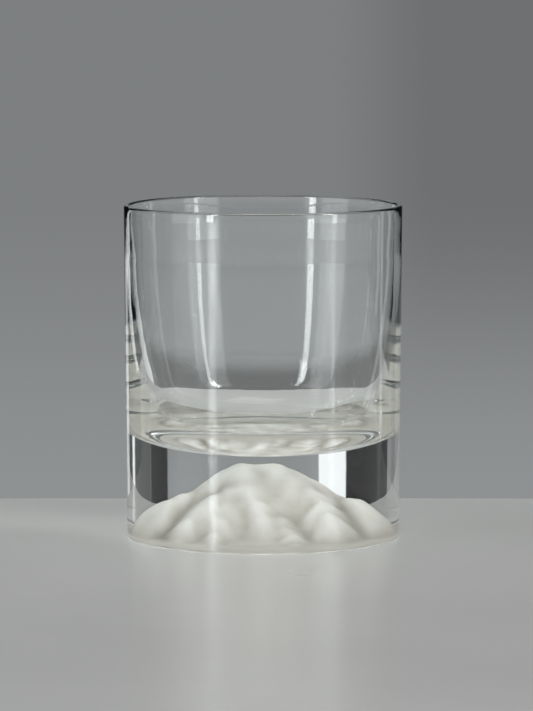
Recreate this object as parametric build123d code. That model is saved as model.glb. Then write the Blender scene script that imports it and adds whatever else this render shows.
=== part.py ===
from build123d import *
from math import cos, exp, hypot, log, radians, sin
import os

# A straight-sided whiskey tumbler of clear crystal. Its thick base has a mountain pressed up
# into it from underneath, and the pressed surface is frosted, so that a white mountain stands
# inside the clear base. Millimetres, +Z up, origin on the table at the centre of the foot.

# Outside: the wall narrows a little from the rim to the foot
HEIGHT = 101.0
RIM_RADIUS = 42.0
FOOT_RADIUS = 41.15
FOOT_EDGE_RADIUS = 1.4

# Inside of the bowl: (radius, height) where the thin wall ends, where the wall turns into the
# floor, and where the floor becomes level. The wall leans by KNEE_LEAN degrees at the knee.
LIP_THICKNESS = 1.6
WALL_END = (39.6, 86.0)
WALL_SET_IN = 0.3
KNEE = (34.6, 40.0)
KNEE_LEAN = 15.0
FLOOR_EDGE = (10.0, 27.1)
FLOOR_HEIGHT = 27.0
WALL_PULLS = (14.0, 13.0)
FLOOR_PULLS = (7.5, 14.5)

# Join of the blown bowl to the solid base: a level land at the wall, then around the bowl
JOIN_HEIGHT = 50.0
JOIN_RADIUS = 38.6
BOWL_FLOOR_THICKNESS = 1.2
BOWL_CORNER_THICKNESS = 1.6

# Recess under the base, the ring left around it to stand on, and the depth of the frosting
RECESS_RADIUS = 37.0
RECESS_CHAMFER = 0.3
FROST_DEPTH = 0.5

# Pressed surface: an almost level apron at the foot, swelling towards the mountain
APRON_HEIGHT = 2.2
APRON_EDGE_HEIGHT = 0.9
APRON_START = 19.5
SWELL_HEIGHT = 5.0
SWELL_START = 14.0
SWELL_END = 28.0
EDGE_BAND_START = 31.0

# Mountain: fall of a ridge's sides, how round its crest and how soft the valleys are, how far
# the ridges wander from their crest lines, and how widely the creases are rounded
RIDGE_FALL = 1.25
CREST_ROUNDNESS = 2.8
VALLEY_SOFTNESS = 0.7
WANDER = 0.35
WANDER_START = 24.0
WANDER_END = 34.0
CREASE_ROUNDING = 1.5
GRID_STEP = 1.5

# Crest line of each ridge from the summit out: x, y and height above the table
RIDGES = {
    "west": [
        (2.2, 0.8, 23.5), (-1.0, 0.6, 23.9), (-3.6, 0.2, 24.2), (-5.6, 0.2, 22.7),
        (-7.7, 0.2, 19.2), (-9.8, 0.2, 17.6), (-12.9, 0.2, 15.9), (-15.3, 0.0, 14.8),
    ],
    "west hill": [
        (-15.4, 0.0, 12.4), (-18.6, -1.0, 12.6), (-20.0, -1.6, 12.4), (-21.4, -2.4, 9.4),
        (-23.0, -3.2, 4.6),
    ],
    "west front": [
        (-0.9, -4.6, 18.8), (-3.7, -6.2, 17.6), (-7.4, -7.4, 16.9), (-10.7, -8.4, 15.4),
        (-13.2, -9.8, 12.6), (-16.4, -12.2, 9.0), (-19.0, -15.0, 5.4), (-21.0, -18.0, 2.6),
    ],
    "front left": [
        (-1.4, -7.0, 16.2), (-2.8, -9.4, 14.8), (-7.0, -12.0, 12.6), (-9.5, -15.6, 9.2),
        (-11.5, -19.4, 5.4), (-12.5, -23.0, 2.4),
    ],
    "front": [
        (-0.6, -9.2, 15.0), (-0.6, -11.6, 13.2), (0.0, -14.6, 10.6), (0.4, -17.0, 7.4),
        (0.6, -21.0, 2.8),
    ],
    "front right": [
        (1.9, -4.0, 19.2), (2.6, -9.0, 14.2), (4.6, -14.6, 9.2), (5.6, -18.2, 6.4),
        (7.0, -22.0, 4.4), (8.4, -26.0, 2.0),
    ],
    "south east": [
        (3.4, -0.6, 22.5), (5.7, -1.8, 20.5), (8.5, -4.4, 17.3), (12.5, -8.6, 13.3),
        (15.2, -12.0, 10.2), (16.8, -14.6, 7.0), (18.6, -18.0, 2.8),
    ],
    "east": [
        (2.2, 0.8, 23.5), (5.4, 0.8, 22.1), (8.1, 1.0, 19.8), (10.8, 1.0, 17.0),
        (14.0, 1.0, 14.6), (16.3, 0.8, 12.9),
    ],
    "east hill": [
        (15.5, -0.6, 12.2), (18.0, -1.0, 13.1), (19.8, -1.4, 12.7), (21.8, -2.0, 9.8),
        (24.2, -3.0, 6.2), (26.0, -4.0, 3.0),
    ],
    "north": [
        (0.0, 2.5, 23.0), (1.2, 9.0, 18.0), (-1.0, 15.0, 13.4), (0.8, 20.5, 8.6),
        (0.3, 24.0, 4.0),
    ],
    "north west": [
        (-2.6, 2.6, 21.5), (-6.6, 8.0, 15.8), (-10.0, 13.0, 10.8), (-13.0, 16.5, 5.0),
    ],
    "north east": [
        (3.6, 3.2, 21.2), (7.6, 8.5, 15.8), (10.6, 13.6, 10.6), (13.4, 17.0, 5.0),
    ],
}


def outer_radius(height):
    """Radius of the outside wall."""
    return FOOT_RADIUS + (RIM_RADIUS - FOOT_RADIUS) * height / HEIGHT


def smooth_step(low, high, value):
    """0 below low and 1 above high, with level ends."""
    share = min(1.0, max(0.0, (value - low) / (high - low)))
    return share * share * (3 - 2 * share)


def wandering(x, y):
    """The point moved a little, so that no ridge runs straight, and not at all near the edge."""
    amount = WANDER * (1 - smooth_step(WANDER_START, WANDER_END, hypot(x, y)))
    across = sin(y / 2.9 + 0.8) + 0.6 * sin(y / 1.7 - x / 4.0)
    along = sin(x / 2.7 + 2.0) + 0.6 * sin(x / 1.6 + y / 3.5)
    return x + amount * across, y + amount * along


def roof_height(start, end, x, y):
    """Height at x, y of a round-crested roof over the straight crest from start to end."""
    run_x, run_y = end[0] - start[0], end[1] - start[1]
    share = ((x - start[0]) * run_x + (y - start[1]) * run_y) / (run_x ** 2 + run_y ** 2)
    share = min(1.0, max(0.0, share))
    away = hypot(x - start[0] - share * run_x, y - start[1] - share * run_y)
    fall = RIDGE_FALL * (hypot(away, CREST_ROUNDNESS) - CREST_ROUNDNESS)
    return start[2] + (end[2] - start[2]) * share - fall


def ridge_height(crest, x, y):
    """Height at x, y of one ridge, whose crest line runs through these points."""
    return max(roof_height(start, end, x, y) for start, end in zip(crest, crest[1:]))


def relief_height(x, y):
    """Height above the table of the pressed and frosted surface: the ridges, softly joined."""
    radius = hypot(x, y)
    apron_share = 1 - smooth_step(APRON_START, RECESS_RADIUS, radius)
    apron = APRON_EDGE_HEIGHT + (APRON_HEIGHT - APRON_EDGE_HEIGHT) * apron_share
    swell = apron + (SWELL_HEIGHT - APRON_HEIGHT) * (1 - smooth_step(SWELL_START, SWELL_END, radius))
    moved_x, moved_y = wandering(x, y)
    heights = [swell] + [ridge_height(crest, moved_x, moved_y) for crest in RIDGES.values()]
    joined = VALLEY_SOFTNESS * log(sum(exp(height / VALLEY_SOFTNESS) for height in heights))
    edge_share = smooth_step(EDGE_BAND_START, RECESS_RADIUS, radius)
    return joined + (apron - joined) * edge_share


def rounded_height(x, y):
    """Height of the pressed surface with its creases rounded: a weighted mean over nine places."""
    weights = {-CREASE_ROUNDING: 0.25, 0.0: 0.5, CREASE_ROUNDING: 0.25}
    places = [(across, along) for across in weights for along in weights]
    return sum(
        weights[across] * weights[along] * relief_height(x + across, y + along)
        for across, along in places
    )


def section_point(radius, height):
    """A point of the half section, which is drawn in the plane of X and Z."""
    return Vector(radius, 0, height)


def pulled(point, distance):
    """A point that far up the leaning wall from the knee, or down it where negative."""
    lean = radians(KNEE_LEAN)
    return section_point(point[0] + distance * sin(lean), point[1] + distance * cos(lean))


def section_line(*points):
    """Straight edges from point to point of the half section."""
    corners = [section_point(*point) for point in points]
    return [Line(start, end) for start, end in zip(corners, corners[1:])]


def turned(edges):
    """The solid that a closed half section sweeps round the axis."""
    return revolve(make_face(edges), Axis.Z)


def wall_curve():
    """Inside of the wall, from where it starts to thicken down to the knee."""
    start = section_point(*WALL_END)
    first_pull = section_point(WALL_END[0] - WALL_SET_IN, WALL_END[1] - WALL_PULLS[0])
    return Bezier(start, first_pull, pulled(KNEE, WALL_PULLS[1]), section_point(*KNEE))


def floor_curve(drop=0.0, spread=0.0):
    """Round inside corner, from the knee to the level floor, or that far below and outside it."""
    corner = (KNEE[0] + spread, KNEE[1] - drop)
    level = FLOOR_EDGE[1] - drop
    last_pull = section_point(FLOOR_EDGE[0] + FLOOR_PULLS[1], level)
    level_edge = section_point(FLOOR_EDGE[0], level)
    return Bezier(section_point(*corner), pulled(corner, -FLOOR_PULLS[0]), last_pull, level_edge)


def floor_dish(drop=0.0):
    """The almost level floor, from its edge to the axis."""
    edge = section_point(FLOOR_EDGE[0], FLOOR_EDGE[1] - drop)
    pull = section_point(FLOOR_EDGE[0] / 2, FLOOR_HEIGHT - drop)
    return Bezier(edge, pull, section_point(0, FLOOR_HEIGHT - drop))


def bowl_underside():
    """Where bowl and base meet, from the axis out to the wall."""
    drop = BOWL_FLOOR_THICKNESS
    corner = (KNEE[0] + BOWL_CORNER_THICKNESS, KNEE[1] - drop)
    around = [floor_dish(drop), floor_curve(drop, BOWL_CORNER_THICKNESS)]
    land_end = (outer_radius(JOIN_HEIGHT), JOIN_HEIGHT)
    return around + section_line(corner, (JOIN_RADIUS, JOIN_HEIGHT), land_end)


def make_bowl():
    """Blown cup: thin wall with a round lip, thickening into a round-cornered floor."""
    lip_radius = LIP_THICKNESS / 2
    lip_height = HEIGHT - lip_radius
    lip_inside = (RIM_RADIUS - LIP_THICKNESS, lip_height)
    lip_outside = (RIM_RADIUS, lip_height)
    lip_top = section_point(RIM_RADIUS - lip_radius, HEIGHT)
    edges = [floor_dish(), floor_curve(), wall_curve()]
    edges += section_line(WALL_END, lip_inside)
    edges.append(ThreePointArc(section_point(*lip_inside), lip_top, section_point(*lip_outside)))
    edges += section_line(lip_outside, (outer_radius(JOIN_HEIGHT), JOIN_HEIGHT))
    edges += bowl_underside()
    edges += section_line((0, FLOOR_HEIGHT - BOWL_FLOOR_THICKNESS), (0, FLOOR_HEIGHT))
    return turned(edges)


def make_pressed_surface():
    """The pressed surface as one smooth face, wider than the glass."""
    half_count = int(RIM_RADIUS / GRID_STEP) + 1
    places = [GRID_STEP * index for index in range(-half_count, half_count + 1)]
    grid = [[Vector(x, y, rounded_height(x, y)) for x in places] for y in places]
    return Face.make_surface_from_array_of_points(grid, tol=0.01, min_deg=3, max_deg=5)


def layer_under(surface, depth):
    """The solid from the surface down to that depth below it, within the recess."""
    column = Cylinder(RECESS_RADIUS, 2 * HEIGHT)
    return column & Solid.extrude(surface, Vector(0, 0, -depth))


def make_base_block(surface):
    """Solid base that holds the bowl, with the mountain-shaped recess in its underside."""
    edge = FOOT_EDGE_RADIUS
    wall_foot = (outer_radius(edge), edge)
    ring_outside = (wall_foot[0] - edge, 0)
    corner = section_point(ring_outside[0] + edge * sin(radians(45)), edge - edge * cos(radians(45)))
    edges = bowl_underside()
    edges += section_line((outer_radius(JOIN_HEIGHT), JOIN_HEIGHT), wall_foot)
    edges.append(ThreePointArc(section_point(*wall_foot), corner, section_point(*ring_outside)))
    edges += section_line(ring_outside, (0, 0), (0, FLOOR_HEIGHT - BOWL_FLOOR_THICKNESS))
    block = turned(edges)
    block -= layer_under(surface, HEIGHT)
    standing = (Align.CENTER, Align.CENTER, Align.MIN)
    return block - Cone(RECESS_RADIUS + RECESS_CHAMFER, RECESS_RADIUS, RECESS_CHAMFER, align=standing)


def make_mountain_relief(surface):
    """Frosted skin of the recess: the mountain and the apron around it, open from below."""
    return layer_under(surface, FROST_DEPTH)


def write_part(name, shape):
    """Writes one sub-part as its own solid."""
    solid = shape.solids()[0]
    solid.label = name
    export_step(solid, os.path.join("parts", name + ".step"))


os.makedirs("parts", exist_ok=True)
pressed_surface = make_pressed_surface()
write_part("bowl", make_bowl())
write_part("base_block", make_base_block(pressed_surface))
write_part("mountain_relief", make_mountain_relief(pressed_surface))
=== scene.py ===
from math import cos, exp, floor, hypot, log, pi, radians, sin

import bpy
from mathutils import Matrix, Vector, noise
from mathutils.geometry import interpolate_bezier


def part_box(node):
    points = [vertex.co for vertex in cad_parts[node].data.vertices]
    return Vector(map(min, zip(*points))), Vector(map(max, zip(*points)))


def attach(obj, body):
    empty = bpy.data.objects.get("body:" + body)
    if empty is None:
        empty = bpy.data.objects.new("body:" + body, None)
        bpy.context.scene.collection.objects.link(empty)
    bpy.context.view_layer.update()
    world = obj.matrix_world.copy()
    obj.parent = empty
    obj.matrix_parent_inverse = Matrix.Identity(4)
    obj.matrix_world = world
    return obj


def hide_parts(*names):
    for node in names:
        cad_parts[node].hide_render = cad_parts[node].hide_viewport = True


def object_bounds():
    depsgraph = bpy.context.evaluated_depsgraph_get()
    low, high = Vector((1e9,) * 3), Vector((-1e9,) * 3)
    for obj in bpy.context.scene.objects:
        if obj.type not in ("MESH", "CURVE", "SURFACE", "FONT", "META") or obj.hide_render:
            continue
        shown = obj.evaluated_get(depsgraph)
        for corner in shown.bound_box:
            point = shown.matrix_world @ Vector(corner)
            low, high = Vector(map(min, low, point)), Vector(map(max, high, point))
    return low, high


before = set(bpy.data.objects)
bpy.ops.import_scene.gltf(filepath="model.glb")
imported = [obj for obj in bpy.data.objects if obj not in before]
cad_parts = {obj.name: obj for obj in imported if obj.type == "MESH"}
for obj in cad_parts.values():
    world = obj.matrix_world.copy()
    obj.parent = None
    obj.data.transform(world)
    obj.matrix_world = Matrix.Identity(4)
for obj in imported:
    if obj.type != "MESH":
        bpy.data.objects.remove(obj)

cad_low, cad_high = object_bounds()

# A straight-sided whiskey tumbler of clear crystal with a frosted mountain pressed up into its
# thick base. Metres, +Z up, origin on the table at the centre of the foot.

MM = 0.001

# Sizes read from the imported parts
HEIGHT = cad_high.z
RIM_RADIUS = min(cad_high.x, cad_high.y)
RECESS_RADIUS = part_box("mountain_relief")[1].x
BOWL_FLOOR_THICKNESS = 1.2 * MM
FLOOR_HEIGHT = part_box("bowl")[0].z + BOWL_FLOOR_THICKNESS

# Outside of the glass
FOOT_RADIUS = RIM_RADIUS - 0.85 * MM
FOOT_EDGE_RADIUS = 1.4 * MM
LIP_RADIUS = 0.8 * MM

# Inside of the bowl: where the wall starts to thicken, the knee, and the edge of the level floor
WALL_END = Vector((RIM_RADIUS - 2.4 * MM, 0, HEIGHT - 15 * MM))
WALL_END_PULL = Vector((-0.3 * MM, 0, -14 * MM))
KNEE = Vector((RIM_RADIUS - 7.4 * MM, 0, FLOOR_HEIGHT + 13 * MM))
KNEE_LEAN = radians(15)
KNEE_PULL_UP = 13 * MM
KNEE_PULL_DOWN = 7.5 * MM
FLOOR_EDGE = Vector((10 * MM, 0, FLOOR_HEIGHT + 0.1 * MM))
FLOOR_EDGE_PULL = Vector((14.5 * MM, 0, 0))

# Foot ring and frosted skin
RECESS_CHAMFER = 0.3 * MM
RECESS_EDGE_HEIGHT = 0.9 * MM
FROST_DEPTH = 0.5 * MM
FROST_BITE = 0.06 * MM
FROST_EDGE_GAP = 0.02 * MM

# How finely the pieces are drawn
STEPS_ROUND = 256
CURVE_POINTS = 44
RECESS_RINGS = 104
CREASE_ANGLE = radians(35)
MERGE_DISTANCE = 0.002 * MM
TOUCHING = 0.01 * MM

# Pressed surface in millimetres: the apron, the swell under the mountain, and the crest line of
# each ridge from the summit out
APRON_HEIGHT, APRON_EDGE_HEIGHT = 2.2, 0.9
APRON_START, APRON_END = 19.5, 37.0
SWELL_HEIGHT, SWELL_START, SWELL_END = 5.0, 14.0, 28.0
EDGE_BAND_START = 31.0
RIDGE_FALL = 1.25
CREST_ROUNDNESS = 2.8
VALLEY_SOFTNESS = 0.7
WANDER, WANDER_START, WANDER_END = 0.35, 24.0, 34.0
RIDGES = [
    [(2.2, 0.8, 23.5), (-1.0, 0.6, 23.9), (-3.6, 0.2, 24.2), (-5.6, 0.2, 22.7),
     (-7.7, 0.2, 19.2), (-9.8, 0.2, 17.6), (-12.9, 0.2, 15.9), (-15.3, 0.0, 14.8)],
    [(-15.4, 0.0, 12.4), (-18.6, -1.0, 12.6), (-20.0, -1.6, 12.4), (-21.4, -2.4, 9.4),
     (-23.0, -3.2, 4.6)],
    [(-0.9, -4.6, 18.8), (-3.7, -6.2, 17.6), (-7.4, -7.4, 16.9), (-10.7, -8.4, 15.4),
     (-13.2, -9.8, 12.6), (-16.4, -12.2, 9.0), (-19.0, -15.0, 5.4), (-21.0, -18.0, 2.6)],
    [(-1.4, -7.0, 16.2), (-2.8, -9.4, 14.8), (-7.0, -12.0, 12.6), (-9.5, -15.6, 9.2),
     (-11.5, -19.4, 5.4), (-12.5, -23.0, 2.4)],
    [(-0.6, -9.2, 15.0), (-0.6, -11.6, 13.2), (0.0, -14.6, 10.6), (0.4, -17.0, 7.4),
     (0.6, -21.0, 2.8)],
    [(1.9, -4.0, 19.2), (2.6, -9.0, 14.2), (4.6, -14.6, 9.2), (5.6, -18.2, 6.4),
     (7.0, -22.0, 4.4), (8.4, -26.0, 2.0)],
    [(3.4, -0.6, 22.5), (5.7, -1.8, 20.5), (8.5, -4.4, 17.3), (12.5, -8.6, 13.3),
     (15.2, -12.0, 10.2), (16.8, -14.6, 7.0), (18.6, -18.0, 2.8)],
    [(2.2, 0.8, 23.5), (5.4, 0.8, 22.1), (8.1, 1.0, 19.8), (10.8, 1.0, 17.0),
     (14.0, 1.0, 14.6), (16.3, 0.8, 12.9)],
    [(15.5, -0.6, 12.2), (18.0, -1.0, 13.1), (19.8, -1.4, 12.7), (21.8, -2.0, 9.8),
     (24.2, -3.0, 6.2), (26.0, -4.0, 3.0)],
    [(0.0, 2.5, 23.0), (1.2, 9.0, 18.0), (-1.0, 15.0, 13.4), (0.8, 20.5, 8.6),
     (0.3, 24.0, 4.0)],
    [(-2.6, 2.6, 21.5), (-6.6, 8.0, 15.8), (-10.0, 13.0, 10.8), (-13.0, 16.5, 5.0)],
    [(3.6, 3.2, 21.2), (7.6, 8.5, 15.8), (10.6, 13.6, 10.6), (13.4, 17.0, 5.0)],
]

# Fine carving that the finished mountain has on top of its ridges, in millimetres
CARVING_HEIGHT = 0.3
CARVING_SIZE = 5.5
CARVING_START, CARVING_END = 21.0, 30.0

# Painted shade on the mountain: its frost is painted darker in its hollows and lighter on its crests.
# The grid that the hollows are measured on, the rounds of levelling out, and the depth from darkest
# painted shade to whitest crest
HOLLOW_GRID = 1.0
HOLLOW_ROUNDS = 8
HOLLOW_SHADE_DEPTH = 1.1

# Camera, stand and studio
LENS = 253.16
SENSOR_WIDTH = 36
CAMERA_PLACE = (0.00105, -1.502, 0.2055)
CAMERA_TILT = radians(5.715)
TABLE_HALF_WIDTH = 1.4
TABLE_FRONT = -2.4
TABLE_BACK = 0.095
TABLE_THICKNESS = 0.03
TABLE_EDGE_RADIUS = 0.004

# Soft boxes: azimuth and elevation in degrees, distance, width and height, watts and colour.
# Azimuth 0 is straight behind the glass and 90 to its right.
LIGHTS = {
    "key_light": (118, 34, 2.2, (0.3, 0.8), 11, (1.0, 0.98, 0.94)),
    "fill_light": (-137, 20, 2.2, (0.3, 0.8), 5, (0.95, 0.97, 1.0)),
    "top_light": (20, 75, 2.0, (1.0, 1.0), 6, (1.0, 0.99, 0.97)),
}

# Upright panels of the studio, later ones over earlier ones: left and right edge and bottom and
# top edge in degrees, softness of the edges in degrees, and brightness
PANELS = [
    (-27, -16.5, -60, 60, 0.3, 0.98),
    (-34, -12, -4.7, 14, 0.3, 0.01),
    (-56, -27, -15, 60, 0.6, 0.01),
    (-100, -62, -15, 60, 2, 0.22),
    (12, 36, -4.9, 14, 0.3, 0.02),
    (33, 44, -15, 60, 0.6, 0.01),
    (44, 61, -15, 60, 1, 0.07),
    (62, 66, -15, 60, 1, 1.2),
    (66, 100, -15, 60, 1, 0.05),
    (107, 140, -6, 45, 2, 1.9),
    (117, 121, -6, 45, 0.6, 9.0),
    (-127, -100, -6, 45, 2, 1.9),
    (-139, -133, -6, 45, 0.6, 12.0),
]


# ---- shader nodes -------------------------------------------------------------------------

class Value:
    """A number socket that takes part in sums."""

    def __init__(self, nodes, socket):
        self.nodes = nodes
        self.socket = socket

    def math(self, operation, *others, **settings):
        values = {index: other for index, other in enumerate((self,) + others)}
        return self.nodes.add("ShaderNodeMath", {"operation": operation, **settings}, values)

    def __add__(self, other):
        return self.math("ADD", other)

    def __radd__(self, other):
        return self.math("ADD", other)

    def __sub__(self, other):
        return self.math("SUBTRACT", other)

    def __rsub__(self, other):
        return self.nodes.add("ShaderNodeMath", {"operation": "SUBTRACT"}, {0: other, 1: self})

    def __mul__(self, other):
        return self.math("MULTIPLY", other)

    def __rmul__(self, other):
        return self.math("MULTIPLY", other)

    def step(self, low, high):
        """0 below low and 1 above high, with level ends."""
        inputs = {"Value": self, "From Min": low, "From Max": high}
        return self.nodes.add("ShaderNodeMapRange", {"interpolation_type": "SMOOTHSTEP"}, inputs)

    def between(self, low, high, soft):
        """1 from low to high and 0 outside, with edges that soft."""
        return self.step(low - soft, low + soft) * (1 - self.step(high - soft, high + soft))


class Nodes:
    """A node tree, emptied, that new nodes are added to."""

    def __init__(self, tree):
        self.tree = tree
        tree.nodes.clear()

    def add(self, kind, settings=None, inputs=None, output=0):
        """A node of that type, with its settings and its inputs, as the value of one output."""
        node = self.tree.nodes.new(kind)
        for name, setting in (settings or {}).items():
            if name == "stops":
                self.set_stops(node.color_ramp, setting)
            else:
                setattr(node, name, setting)
        for name, given in (inputs or {}).items():
            if isinstance(given, Value):
                self.tree.links.new(given.socket, node.inputs[name])
            else:
                node.inputs[name].default_value = given
        return Value(self, node.outputs[output]) if node.outputs else node

    @staticmethod
    def set_stops(ramp, stops):
        while len(ramp.elements) < len(stops):
            ramp.elements.new(1)
        for element, (place, color) in zip(ramp.elements, stops):
            element.position = place
            element.color = color


def new_material(name):
    material = bpy.data.materials.new(name)
    material.use_nodes = True
    return material, Nodes(material.node_tree)


# ---- modelling ----------------------------------------------------------------------------

def deselect_all():
    if bpy.context.object and bpy.context.object.mode != "OBJECT":
        bpy.ops.object.mode_set(mode="OBJECT")
    bpy.ops.object.select_all(action="DESELECT")


def start_section(name, place):
    """A piece of one vertex, open in edit mode, for a section to be drawn out from."""
    deselect_all()
    bpy.ops.mesh.primitive_plane_add(size=MM, location=place)
    piece = bpy.context.object
    piece.name = piece.data.name = name
    bpy.ops.object.transform_apply(location=True)
    bpy.ops.object.mode_set(mode="EDIT")
    bpy.ops.mesh.select_all(action="SELECT")
    bpy.ops.mesh.merge(type="CENTER")
    return piece


def draw_section(name, points):
    """Extrudes one vertex from point to point of a half section."""
    piece = start_section(name, points[0])
    for start, end in zip(points, points[1:]):
        bpy.ops.mesh.extrude_region_move(TRANSFORM_OT_translate={"value": end - start})
    return piece


def spin_round():
    """Turns the open section once round the axis and closes the seam and the poles."""
    bpy.ops.mesh.select_all(action="SELECT")
    bpy.ops.mesh.spin(steps=STEPS_ROUND, angle=2 * pi, center=(0, 0, 0), axis=(0, 0, 1))
    bpy.ops.mesh.select_all(action="SELECT")
    bpy.ops.mesh.remove_doubles(threshold=MERGE_DISTANCE)
    bpy.ops.mesh.normals_make_consistent(inside=False)
    bpy.ops.object.mode_set(mode="OBJECT")


def smooth(piece):
    bpy.ops.object.select_all(action="DESELECT")
    piece.select_set(True)
    bpy.context.view_layer.objects.active = piece
    bpy.ops.object.shade_smooth_by_angle(angle=CREASE_ANGLE)


def bezier(start, start_pull, end_pull, end):
    """Points of a curve that leaves start and reaches end along the two pulls."""
    return interpolate_bezier(start, start + start_pull, end + end_pull, end, CURVE_POINTS)


def line(start, end, count):
    """Evenly spaced points from start to end, both included."""
    return [start.lerp(end, index / count) for index in range(count + 1)]


def arc(centre, radius, from_angle, to_angle, count):
    """Points of an arc in the plane of the section. 0 points outwards and a quarter turn up."""
    turn = (to_angle - from_angle) / count
    angles = [from_angle + turn * index for index in range(count + 1)]
    return [centre + Vector((radius * cos(angle), 0, radius * sin(angle))) for angle in angles]


def joined(*runs):
    """One list of points from several runs, without the points that two runs share."""
    points = list(runs[0])
    for run in runs[1:]:
        points += [point for point in run if (point - points[-1]).length > TOUCHING]
    return points


# ---- the pressed surface ------------------------------------------------------------------

def smooth_step(low, high, value):
    share = min(1.0, max(0.0, (value - low) / (high - low)))
    return share * share * (3 - 2 * share)


def wandering(x, y):
    """The point moved a little, so that no ridge runs straight, and not at all near the edge."""
    amount = WANDER * (1 - smooth_step(WANDER_START, WANDER_END, hypot(x, y)))
    across = sin(y / 2.9 + 0.8) + 0.6 * sin(y / 1.7 - x / 4.0)
    along = sin(x / 2.7 + 2.0) + 0.6 * sin(x / 1.6 + y / 3.5)
    return x + amount * across, y + amount * along


def roof_height(start, end, x, y):
    """Height at x, y of a round-crested roof over the straight crest from start to end."""
    run_x, run_y = end[0] - start[0], end[1] - start[1]
    share = ((x - start[0]) * run_x + (y - start[1]) * run_y) / (run_x ** 2 + run_y ** 2)
    share = min(1.0, max(0.0, share))
    away = hypot(x - start[0] - share * run_x, y - start[1] - share * run_y)
    fall = RIDGE_FALL * (hypot(away, CREST_ROUNDNESS) - CREST_ROUNDNESS)
    return start[2] + (end[2] - start[2]) * share - fall


def ridge_height(crest, x, y):
    return max(roof_height(start, end, x, y) for start, end in zip(crest, crest[1:]))


def carving(x, y):
    """Small uneven forms on the mountain, fading out on the apron."""
    amount = CARVING_HEIGHT * (1 - smooth_step(CARVING_START, CARVING_END, hypot(x, y)))
    place = Vector((x, y, 0)) / CARVING_SIZE
    return amount * (noise.noise(place) + 0.5 * noise.noise(2.1 * place + Vector((3, 5, 1))))


def relief_height(x, y):
    """Height above the table, in millimetres, of the pressed surface at x, y in millimetres."""
    radius = hypot(x, y)
    apron_share = 1 - smooth_step(APRON_START, APRON_END, radius)
    apron = APRON_EDGE_HEIGHT + (APRON_HEIGHT - APRON_EDGE_HEIGHT) * apron_share
    swell = apron + (SWELL_HEIGHT - APRON_HEIGHT) * (1 - smooth_step(SWELL_START, SWELL_END, radius))
    moved_x, moved_y = wandering(x, y)
    heights = [swell] + [ridge_height(crest, moved_x, moved_y) for crest in RIDGES]
    together = VALLEY_SOFTNESS * log(sum(exp(height / VALLEY_SOFTNESS) for height in heights))
    edge_share = smooth_step(EDGE_BAND_START, APRON_END, radius)
    return together + (apron - together) * edge_share + carving(x, y)


def hollow_map():
    """How far each grid point lies below the relief levelled out around it, in millimetres."""
    count = int(APRON_END / HOLLOW_GRID) + 1
    steps = range(-count, count + 1)
    relief = {(i, j): relief_height(i * HOLLOW_GRID, j * HOLLOW_GRID) for i in steps for j in steps}
    levelled = relief
    for _ in range(HOLLOW_ROUNDS):
        levelled = {spot: mean_around(levelled, *spot) for spot in levelled}
    return {spot: levelled[spot] - relief[spot] for spot in relief}


def mean_around(heights, i, j):
    """Mean of a grid point and its four neighbours. The outermost points keep their height."""
    spots = [(i, j), (i + 1, j), (i - 1, j), (i, j + 1), (i, j - 1)]
    if any(spot not in heights for spot in spots):
        return heights[i, j]
    return sum(heights[spot] for spot in spots) / len(spots)


def hollow_at(hollows, place):
    """How far a vertex lies below its surroundings, in millimetres, or above them if negative."""
    x, y = place.x / MM / HOLLOW_GRID, place.y / MM / HOLLOW_GRID
    i, j = floor(x), floor(y)
    near = hollows[i, j] * (1 - x + i) + hollows[i + 1, j] * (x - i)
    far = hollows[i, j + 1] * (1 - x + i) + hollows[i + 1, j + 1] * (x - i)
    return near * (1 - y + j) + far * (y - j)


relief_cache = {}


def pressed_height(place):
    """Height of the pressed surface over or under a vertex, in metres."""
    spot = (round(place.x / MM, 3), round(place.y / MM, 3))
    if spot not in relief_cache:
        relief_cache[spot] = relief_height(*spot) * MM
    return relief_cache[spot]


# ---- materials ----------------------------------------------------------------------------

def clear_glass():
    """Fire-polished crystal: almost even, with a faint ripple and a trace of finger marks."""
    material, nodes = new_material("clear_glass")
    place = nodes.add("ShaderNodeTexCoord", output=3)
    ripple = nodes.add("ShaderNodeTexNoise", None, {"Vector": place, "Scale": 95.0, "Detail": 2.0})
    marks = nodes.add("ShaderNodeTexNoise", None, {"Vector": place, "Scale": 60.0, "Detail": 6.0})
    smudge = marks.step(0.56, 0.78)
    bump = nodes.add("ShaderNodeBump", None, {"Height": ripple, "Strength": 0.03, "Distance": 0.001})
    glass = nodes.add("ShaderNodeBsdfGlass", None, {
        "Color": (0.994, 0.998, 0.996, 1), "Roughness": smudge * 0.018, "IOR": 1.52, "Normal": bump})
    gap = nodes.add("ShaderNodeBsdfTransparent", None, {"Color": (0.86, 0.88, 0.87, 1)})
    shadow = nodes.add("ShaderNodeLightPath", output="Is Shadow Ray")
    mixed = nodes.add("ShaderNodeMixShader", None, {0: shadow, 1: glass, 2: gap})
    nodes.add("ShaderNodeOutputMaterial", None, {"Surface": mixed})
    return material


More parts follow.
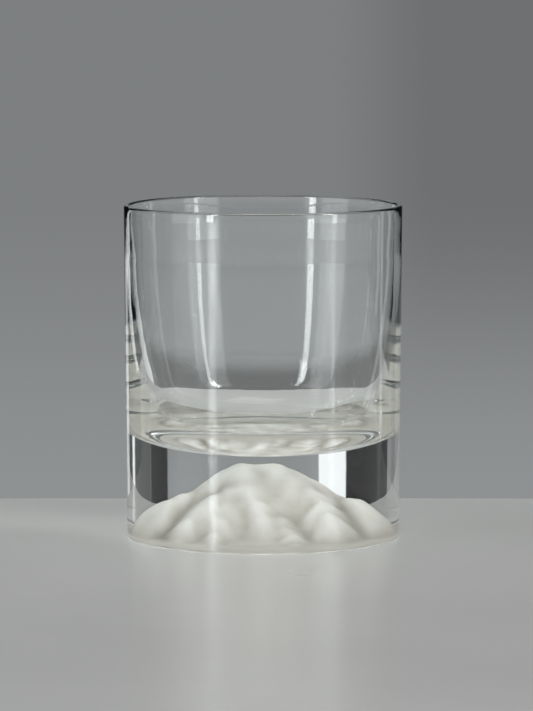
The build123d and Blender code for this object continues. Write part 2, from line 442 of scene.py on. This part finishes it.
def frosted_glass():
    """Sandblasted glass: white and matt, with a fine grain, cloudy lighter and darker parts, and
    painted shade that makes it darker in the hollows of the mountain and lighter on its crests.
    """
    material, nodes = new_material("frosted_glass")
    place = nodes.add("ShaderNodeTexCoord", output=3)
    cloud = nodes.add("ShaderNodeTexNoise", None, {"Vector": place, "Scale": 130.0, "Detail": 5.0})
    grain = nodes.add("ShaderNodeTexNoise", None, {"Vector": place, "Scale": 2600.0, "Detail": 3.0})
    # Painted shade: the stored depth in the hollows makes the frost darker there and lighter on the
    # crests.
    hollow = nodes.add("ShaderNodeAttribute", {"attribute_name": "hollow"}, output=2)
    pits = nodes.add("ShaderNodeTexVoronoi", None, {"Vector": place, "Scale": 1500.0})
    whiteness_and_painted_shade = 0.62 * (1 - hollow) + cloud * 0.3 + grain * 0.12
    # The dark brown-grey end of the ramp is the painted shade of the deepest hollows; the cloud and
    # grain give the frost's own uneven tone.
    stops = [
        (0.12, (0.26, 0.235, 0.20, 1)), (0.46, (0.50, 0.48, 0.435, 1)), (0.80, (0.70, 0.69, 0.65, 1))]
    tone = nodes.add("ShaderNodeValToRGB", {"stops": stops}, {"Fac": whiteness_and_painted_shade})
    bump = nodes.add("ShaderNodeBump", None, {
        "Height": grain * 0.6 + pits * 0.4, "Strength": 0.35, "Distance": 0.00012})
    surface = nodes.add("ShaderNodeBsdfPrincipled", None, {
        "Base Color": tone, "Roughness": 0.62 + grain * 0.2, "Normal": bump})
    through = nodes.add("ShaderNodeBsdfTranslucent", None, {"Color": (0.8, 0.8, 0.77, 1)})
    mixed = nodes.add("ShaderNodeMixShader", None, {0: 0.12, 1: surface, 2: through})
    nodes.add("ShaderNodeOutputMaterial", None, {"Surface": mixed})
    return material


def table_finish():
    """Pale satin table top."""
    material, nodes = new_material("pale_table")
    place = nodes.add("ShaderNodeTexCoord", output=3)
    cloud = nodes.add("ShaderNodeTexNoise", None, {"Vector": place, "Scale": 6.0, "Detail": 4.0})
    stops = [(0.0, (0.66, 0.655, 0.645, 1)), (1.0, (0.72, 0.715, 0.705, 1))]
    tone = nodes.add("ShaderNodeValToRGB", {"stops": stops}, {"Fac": cloud})
    surface = nodes.add("ShaderNodeBsdfPrincipled", None, {
        "Base Color": tone, "Roughness": 0.22 + cloud * 0.08})
    nodes.add("ShaderNodeOutputMaterial", None, {"Surface": surface})
    return material


# ---- pieces -------------------------------------------------------------------------------

def outer_wall(height):
    """A point of the outside wall, which narrows a little towards the foot."""
    return Vector((FOOT_RADIUS + (RIM_RADIUS - FOOT_RADIUS) * height / HEIGHT, 0, height))


def glass_section():
    """Half section of the whole glass, from the middle of the bowl's floor round to the recess."""
    up_the_wall = Vector((sin(KNEE_LEAN), 0, cos(KNEE_LEAN)))
    floor_middle = Vector((0, 0, FLOOR_HEIGHT))
    floor = line(floor_middle, FLOOR_EDGE, 10)
    corner = bezier(FLOOR_EDGE, FLOOR_EDGE_PULL, -KNEE_PULL_DOWN * up_the_wall, KNEE)
    wall = bezier(KNEE, KNEE_PULL_UP * up_the_wall, WALL_END_PULL, WALL_END)
    lip_centre = Vector((RIM_RADIUS - LIP_RADIUS, 0, HEIGHT - LIP_RADIUS))
    thin_wall = line(WALL_END, lip_centre - Vector((LIP_RADIUS, 0, 0)), 12)
    lip = arc(lip_centre, LIP_RADIUS, pi, 0, 16)
    outside = line(lip[-1], outer_wall(FOOT_EDGE_RADIUS), 30)
    foot_centre = outer_wall(FOOT_EDGE_RADIUS) - Vector((FOOT_EDGE_RADIUS, 0, 0))
    foot_edge = arc(foot_centre, FOOT_EDGE_RADIUS, 0, -pi / 2, 12)
    chamfer_outside = Vector((RECESS_RADIUS + RECESS_CHAMFER, 0, 0))
    chamfer_inside = Vector((RECESS_RADIUS, 0, RECESS_CHAMFER))
    recess_edge = Vector((RECESS_RADIUS, 0, RECESS_EDGE_HEIGHT))
    recess_middle = Vector((0, 0, RECESS_EDGE_HEIGHT))
    recess = line(recess_edge, recess_middle, RECESS_RINGS)
    chamfer = [chamfer_outside, chamfer_inside]
    return joined(floor, corner, wall, thin_wall, lip, outside, foot_edge, chamfer, recess)


def make_tumbler():
    """The clear glass, all in one piece, with the mountain-shaped recess in its underside."""
    tumbler = draw_section("tumbler_glass", glass_section())
    spin_round()
    for vertex in tumbler.data.vertices:
        at_recess_height = abs(vertex.co.z - RECESS_EDGE_HEIGHT) < TOUCHING
        if at_recess_height and vertex.co.xy.length < RECESS_RADIUS + TOUCHING:
            vertex.co.z = pressed_height(vertex.co)
    smooth(tumbler)
    tumbler.data.materials.append(clear_glass())
    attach(tumbler, "root")
    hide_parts("bowl", "base_block")


def paint_hollow_shade(mountain):
    """Stores at every vertex a painted shade for the frost, from how deep it lies in the hollows: 0
    on a crest and 1 deep in the hollows.
    """
    hollows = hollow_map()
    depths = mountain.data.color_attributes.new("hollow", "FLOAT_COLOR", "POINT")
    for vertex, entry in zip(mountain.data.vertices, depths.data):
        # Painted shade: the further a vertex lies below its levelled surroundings, the darker its
        # frost is painted.
        depth = min(1.0, max(0.0, 0.5 + hollow_at(hollows, vertex.co) / HOLLOW_SHADE_DEPTH))
        entry.color = (depth, depth, depth, 1)


def make_mountain():
    """The frosted skin of the recess: a mountain on its apron, open from below."""
    rim = RECESS_RADIUS - FROST_EDGE_GAP
    over = line(Vector((0, 0, FROST_DEPTH)), Vector((rim, 0, FROST_DEPTH)), RECESS_RINGS)
    under = line(Vector((rim, 0, 0)), Vector((0, 0, 0)), RECESS_RINGS)
    mountain = draw_section("frosted_mountain", joined(over, under))
    spin_round()
    for vertex in mountain.data.vertices:
        lift = FROST_BITE if vertex.co.z > FROST_DEPTH / 2 else -FROST_DEPTH
        vertex.co.z = pressed_height(vertex.co) + lift
    smooth(mountain)
    paint_hollow_shade(mountain)
    mountain.data.materials.append(frosted_glass())
    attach(mountain, "root")
    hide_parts("mountain_relief")


# ---- studio -------------------------------------------------------------------------------

def make_table():
    """Pale table top that ends a little way behind the glass."""
    deselect_all()
    middle = (TABLE_BACK + TABLE_FRONT) / 2
    bpy.ops.mesh.primitive_cube_add(size=1, location=(0, middle, -TABLE_THICKNESS / 2))
    table = bpy.context.object
    table.name = table.data.name = "table_top"
    table.scale = (2 * TABLE_HALF_WIDTH, TABLE_BACK - TABLE_FRONT, TABLE_THICKNESS)
    bpy.ops.object.transform_apply(location=True, scale=True)
    edge = table.modifiers.new("edge", "BEVEL")
    edge.width = TABLE_EDGE_RADIUS
    edge.segments = 4
    bpy.ops.object.modifier_apply(modifier=edge.name)
    smooth(table)
    table.data.materials.append(table_finish())


def around(azimuth, elevation, distance):
    """The place that lies in that direction from the glass and that far away."""
    turn, rise = radians(azimuth), radians(elevation)
    return (distance * sin(turn) * cos(rise), distance * cos(turn) * cos(rise), distance * sin(rise))


def make_light(name, azimuth, elevation, distance, size, power, color):
    """A soft box that faces the glass and doesn't show by itself."""
    deselect_all()
    bpy.ops.object.light_add(type="AREA", location=around(azimuth, elevation, distance))
    lamp = bpy.context.object
    lamp.name = name
    lamp.data.shape = "RECTANGLE"
    lamp.data.size, lamp.data.size_y = size
    lamp.data.energy = power
    lamp.data.color = color
    towards = Vector((0, 0, HEIGHT / 3)) - lamp.location
    lamp.rotation_euler = towards.to_track_quat("-Z", "Y").to_euler()
    lamp.visible_camera = False


def make_world():
    """Plain grey backdrop, with the upright panels seen only in and through the glass."""
    world = bpy.data.worlds.new("studio")
    bpy.context.scene.world = world
    world.use_nodes = True
    nodes = Nodes(world.node_tree)
    direction = nodes.add("ShaderNodeTexCoord")
    across = nodes.add("ShaderNodeSeparateXYZ", None, {"Vector": direction})
    back, up = (Value(nodes, output) for output in across.socket.node.outputs[1:])
    azimuth = across.math("ARCTAN2", back) * (180 / pi)
    elevation = up.math("ARCSINE") * (180 / pi)
    low_glow = 1 - elevation.step(-7.6, -3.6)
    shade_right = azimuth.step(0.6, 2.0) * elevation.step(-7, -4)
    backdrop = 0.215 + 0.075 * low_glow - 0.05 * shade_right
    around_glass = backdrop * (0.45 + 0.55 * elevation.step(-18, -14))
    for left, right, bottom, top, soft, level in PANELS:
        inside = azimuth.between(left, right, soft) * elevation.between(bottom, top, soft)
        around_glass = around_glass * (1 - inside) + inside * level
    seen_directly = nodes.add("ShaderNodeLightPath")
    strength = seen_directly * backdrop + (1 - seen_directly) * around_glass
    color = (0.95, 0.985, 1.0, 1)
    background = nodes.add("ShaderNodeBackground", None, {"Color": color, "Strength": strength})
    nodes.add("ShaderNodeOutputWorld", None, {"Surface": background})


def make_camera():
    deselect_all()
    bpy.ops.object.camera_add(location=CAMERA_PLACE, rotation=(pi / 2 - CAMERA_TILT, 0, 0))
    camera = bpy.context.object
    camera.name = "camera"
    camera.data.sensor_width = SENSOR_WIDTH
    camera.data.lens = LENS
    camera.data.clip_start = 0.01
    bpy.context.scene.camera = camera


def set_light_paths():
    """Lets light pass through all the layers of glass."""
    paths = bpy.context.scene.cycles
    paths.max_bounces = 24
    paths.transmission_bounces = 24
    paths.glossy_bounces = 10
    paths.transparent_max_bounces = 16
    bpy.context.scene.view_settings.view_transform = "Standard"


make_tumbler()
make_mountain()
make_table()
for light_name, light in LIGHTS.items():
    make_light(light_name, *light)
make_world()
make_camera()
set_light_paths()
